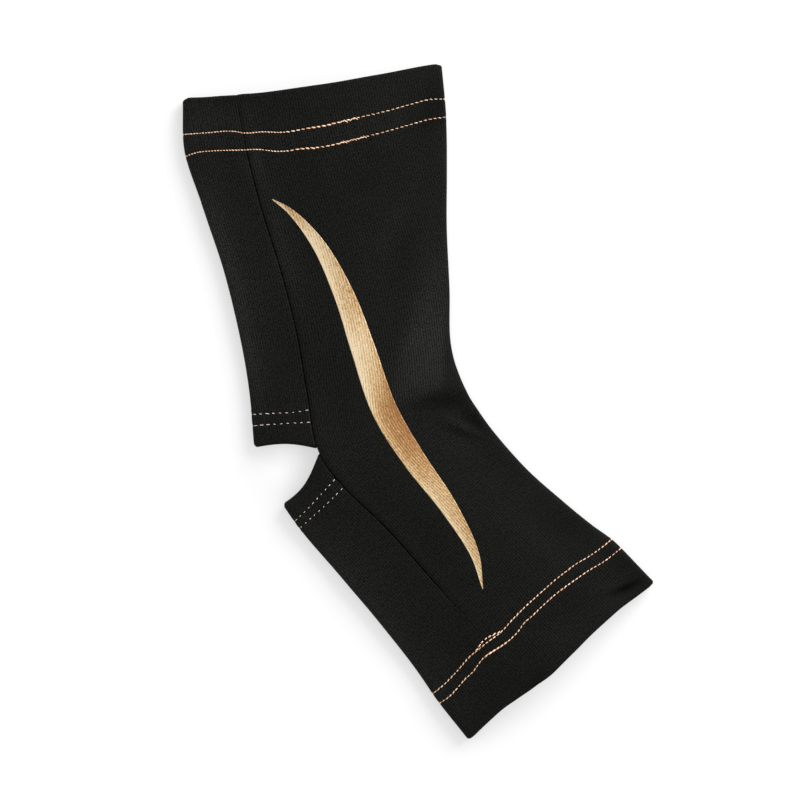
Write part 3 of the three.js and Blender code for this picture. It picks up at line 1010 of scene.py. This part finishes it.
def rowPath(hem, row):  # a stitch row right round its hem, as side, turn and along at close steps
    if hem["strip"]:
        turn = stepsThrough(heelStops, pathSteps["heel"], True)
        side = -np.ones_like(turn)
    else:
        front = stepsThrough((0, 1, 2, 3), pathSteps["front"], True)
        strip = stepsThrough((3, 2, 1, 0), pathSteps["strip"], True)
        turn = np.concatenate([front, strip])
        side = np.concatenate([np.ones_like(front), -np.ones_like(strip)])
    along = alongOf(hem, np.mean([distance for _, distance in row])) + 0 * turn
    share = np.zeros_like(turn)
    for _ in range(3):
        section = sectionAt(rowAt(along))
        for way in (1, -1):
            across, _ = spotAt(section, way, turn, 0)
            across = across / section["strip" if hem["strip"] else "width"]
            share = np.where(side == way, across, share)
        along = alongOf(hem, profile(row, share))
    line = clothAt(side, turn, along, 0 * turn, hem["strip"])
    return {"side": side, "turn": turn, "along": along, "share": share, "length": arcAlong(line)}


def clothAt(side, turn, along, lift, strip):  # points at a height over the outside of the cloth
    made = np.zeros(turn.shape + (3,))
    for way in (1, -1):
        chosen = side == way
        if chosen.any():
            raised = reliefAt(way, turn[chosen], along[chosen], strip) + lift[chosen]
            made[chosen] = place(way, turn[chosen], along[chosen], -raised, strip)
    return made


def runsAlong(path, number, look):  # middles, bow, zigzag and girth of a row's stitches, and of its doubles
    length = path["length"]
    fineTo, finer, thinner = look["fine"]
    paces = np.diff(length) / np.where(path["share"][1:] < fineTo, finer, 1)
    passed = np.concatenate([[0], np.cumsum(paces)])
    count = round(passed[-1] / look["pitch"])
    middles = np.interp((np.arange(count) + 0.5 - look["early"]) * passed[-1] / count, passed, length)
    share = np.interp(middles, length, path["share"])
    turn = np.interp(middles, length, path["turn"])
    slimFrom, slimmer = look["slim"]
    girth = 1 - slimmer * smooth(slimFrom - thread["slimBlend"], slimFrom + thread["slimBlend"], share)
    girth = girth * np.where(share < fineTo, thinner, 1)
    runs = [(middles, 0 * middles, 0, girth)]
    for which, low, high, aside, zigzag, late, fatter in look["doubles"]:
        if which == number:
            here = (share > low) & (share < high) & (turn < 1)
            bow = aside * np.sin(math.pi * (share[here] - low) / (high - low))
            runs.append((middles[here] + late * look["pitch"], bow, zigzag, fatter * girth[here]))
    return runs


def archAlong(steps):
    return np.sin(math.pi * steps) ** thread["arch"]


def layRun(hem, look, path, run):  # middle lines of a run's stitches, their outward directions and girths
    centres, bow, zigzag, girth = run
    steps = np.linspace(0, 1, thread["steps"])
    jitter = dice.normal(0, thread["jitter"], (5, len(centres)))
    share = np.interp(centres, path["length"], path["share"])
    fineTo, finer, _ = look["fine"]
    longTo, longer = look["long"]
    dash = look["dash"] * np.where(share < longTo, longer, 1) * (1 + thread["sizeJitter"] * jitter[0])
    dash = dash * np.where(share < fineTo, finer, 1)
    at = centres[:, None] + jitter[1][:, None] + (steps - 0.5) * dash[:, None]
    lean = math.tan(math.radians(zigzag)) * np.where(np.arange(len(centres)) % 2, 1, -1)
    lean = lean + math.tan(math.radians(look["lean"])) + jitter[2] * thread["leanJitter"]
    shift = bow[:, None] + lean[:, None] * (steps - 0.5) * dash[:, None]
    index = np.clip(np.searchsorted(path["length"], at), 0, len(path["length"]) - 1)
    side = path["side"][index]
    turn = np.interp(at, path["length"], path["turn"])
    along = np.interp(at, path["length"], path["along"]) + hem["inward"] * shift
    sink = look["sink"] * np.abs(jitter[3][:, None] / thread["jitter"])
    lift = (look["rise"] + thread["dip"]) * archAlong(steps) - thread["dip"] - sink
    far = smooth(*thread["underneath"], turn)
    clear = relief["groove"] - look["radius"] * thread["held"]
    lift = lift * (1 - far) + far * np.minimum(lift, clear)
    base = clothAt(side, turn, along, lift, hem["strip"])
    out = clothAt(side, turn, along, lift + outward, hem["strip"]) - base
    return base, out, girth * (1 + thread["sizeJitter"] * jitter[4])


def makeStitches(name, look):
    hem = hems[look["hem"]]
    laid = []
    for number, row in enumerate(hem["rows"]):
        path = rowPath(hem, row)
        laid += [layRun(hem, look, path, run) for run in runsAlong(path, number, look)]
    line, out, slimness = (np.concatenate(group) for group in zip(*laid))
    count, steps, sides = len(line), thread["steps"], thread["sides"]
    ahead = np.gradient(line, axis=1)
    ahead /= np.linalg.norm(ahead, axis=-1, keepdims=True)
    aside = np.cross(ahead, out)
    aside /= np.linalg.norm(aside, axis=-1, keepdims=True)
    out = np.cross(aside, ahead)
    share = np.linspace(0, 1, steps)
    girth = look["radius"] * (thread["ends"] + (1 - thread["ends"]) * archAlong(share))
    angle = np.linspace(0, 2 * math.pi, sides, endpoint=False)
    ring = np.cos(angle)[:, None] * aside[:, :, None] + np.sin(angle)[:, None] * out[:, :, None]
    points = line[:, :, None] + (slimness[:, None] * girth)[:, :, None, None] * ring
    points[..., 2] = np.maximum(points[..., 2], thread["floor"])
    number = np.arange(count * steps * sides).reshape(count, steps, sides)
    after = np.roll(number, -1, axis=2)
    quads = np.stack([number[:, :-1], number[:, 1:], after[:, 1:], after[:, :-1]], axis=-1).reshape(-1, 4)
    faces = quads.tolist() + number[:, 0].tolist() + number[:, -1, ::-1].tolist()
    # painted highlight along the top of each stitch, fading to its ends, with painted shade on its flanks
    highlight = thread["highlightEnds"] + (1 - thread["highlightEnds"]) * np.sin(math.pi * share) ** thread["highlightPower"]
    onTop = np.clip((np.sin(angle) - thread["highlightFrom"]) / (1 - thread["highlightFrom"]), 0, 1)
    shine = thread["highlight"] * (1 + thread["highlightSpread"] * dice.normal(0, 1, (count, 1, 1)))
    pale = shine * highlight[:, None] * onTop + look["bright"]
    coordinates = np.zeros((count, steps, sides, 2))
    coordinates[..., 0] = angle / (2 * math.pi)
    coordinates[..., 1] = share[None, :, None] * look["dash"]
    coordinates[..., 1] += thread["patchStep"] * np.arange(count)[:, None, None]
    piece = meshPiece(
        name, points.reshape(-1, 3), faces, copperThread, coordinates.reshape(-1, 2), pale.ravel())
    return piece


calfStitches, footStitches, backHeelStitches, soleHeelStitches = (
    makeStitches(name, look) for name, look in stitches.items())
print("stitches made")

# Copper film on the near side of the front panel
film = {
    # x, y and width
    "line": [(-57.9, 80.4, 0.3), (-50.5, 75.3, 2.4), (-39.3, 62.0, 5.3), (-29.1, 41.8, 8.0),
             (-21.9, 21.3, 9.6), (-13.3, -3.3, 10.1), (-1.8, -22.6, 9.1), (12.2, -42.0, 6.8),
             (22.6, -60.7, 3.6), (26.0, -74.9, 0.3)],
    "steps": 260, "columns": 18, "thickness": 0.09, "sunk": 0.04,
    "edgePower": 24,  # the higher, the squarer its edge
    # how much browner the film is coloured along its length: share of its length, and depth of tone
    "browning": [(0, -0.1), (0.05, -0.18), (0.1, 0.26), (0.14, 0.13), (0.19, -0.34), (0.24, -0.3), (0.33, 0.06),
             (0.37, 0.08), (0.45, -0.21), (0.5, 0.1), (0.54, 0.45), (0.59, 0.72), (0.64, 0.73), (0.68, 0.5),
             (0.72, 0.27), (0.76, 0.09), (0.86, 0.2), (0.91, 0.11), (0.95, -0.17), (1, 0)],
    "slant": 0.045,  # how far its left side lags behind
    # and how much paler it is across its width, from the left: painted glint along its left side and at its
    # right rim, darker just inside that rim
    "pale": [(0, 0.75), (0.05, 0.55), (0.14, 0.46), (0.3, 0.16), (0.5, 0.02), (0.7, -0.03), (0.8, -0.11),
             (0.9, -0.2), (0.965, -0.28), (0.99, 0.05), (1, 0.15)],
}
castFrom = 0.05  # metres over the floor, from where the film is dropped on the cloth


def castDown(plan, carrier):  # height of the cloth under each place, and where that is in the knit
    cloth = carrier.data
    laid = cloth.uv_layers["cloth"].data
    below = BVHTree.FromPolygons(
        [vertex.co for vertex in cloth.vertices], [face.vertices for face in cloth.polygons])
    height = np.zeros(plan.shape[:2])
    spread = np.zeros(plan.shape)
    for index in np.ndindex(height.shape):
        x, y = plan[index] * mm
        hit, _, number, _ = below.ray_cast(Vector((x, y, castFrom)), Vector((0, 0, -1)))
        face = cloth.polygons[number]
        shares = poly_3d_calc([cloth.vertices[corner].co for corner in face.vertices], hit)
        height[index] = hit.z / mm
        spread[index] = sum(share * np.array(laid[loop].uv) for share, loop in zip(shares, face.loop_indices))
    return height, spread


def makeFilm(look, carrier):
    middle = throughKnots(look["line"], np.linspace(0, len(look["line"]) - 1, look["steps"]))
    heading = np.gradient(middle[:, :2], axis=0)
    heading /= np.linalg.norm(heading, axis=1, keepdims=True)
    aside = np.stack([heading[:, 1], -heading[:, 0]], axis=-1)
    share = 0.5 * np.sin(np.linspace(math.pi / 2, -math.pi / 2, look["columns"]))  # close at the edges
    plan = middle[:, None, :2] + aside[:, None] * share[None, :, None] * middle[:, None, 2:3]
    height, spread = castDown(plan, carrier)
    edge = look["thickness"] * np.sqrt(np.clip(1 - np.abs(share * 2) ** look["edgePower"], 0, 1))[None, :]
    outer = np.concatenate([plan, (height + edge)[..., None]], axis=-1)
    inner = np.concatenate([plan, (height - look["sunk"])[..., None]], axis=-1)
    points = np.concatenate([outer.reshape(-1, 3), inner.reshape(-1, 3)])
    spread = np.concatenate([spread.reshape(-1, 2)] * 2)
    browningLessGlint = profile(look["browning"], np.linspace(0, 1, look["steps"])[:, None] - look["slant"] * share)
    # the painted glint across its width is taken off the browning
    browningLessGlint = browningLessGlint - profile(look["pale"], 0.5 - share)[None, :]
    faces = sheetFaces(look["steps"], look["columns"])
    piece = meshPiece(
        "accent_stripe_film", points, faces, copperFilm, spread, np.concatenate([browningLessGlint.ravel()] * 2))
    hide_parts("accent_stripe")
    return piece


accentStripe = makeFilm(film, frontPanel)
print("film made")

bpy.context.view_layer.update()
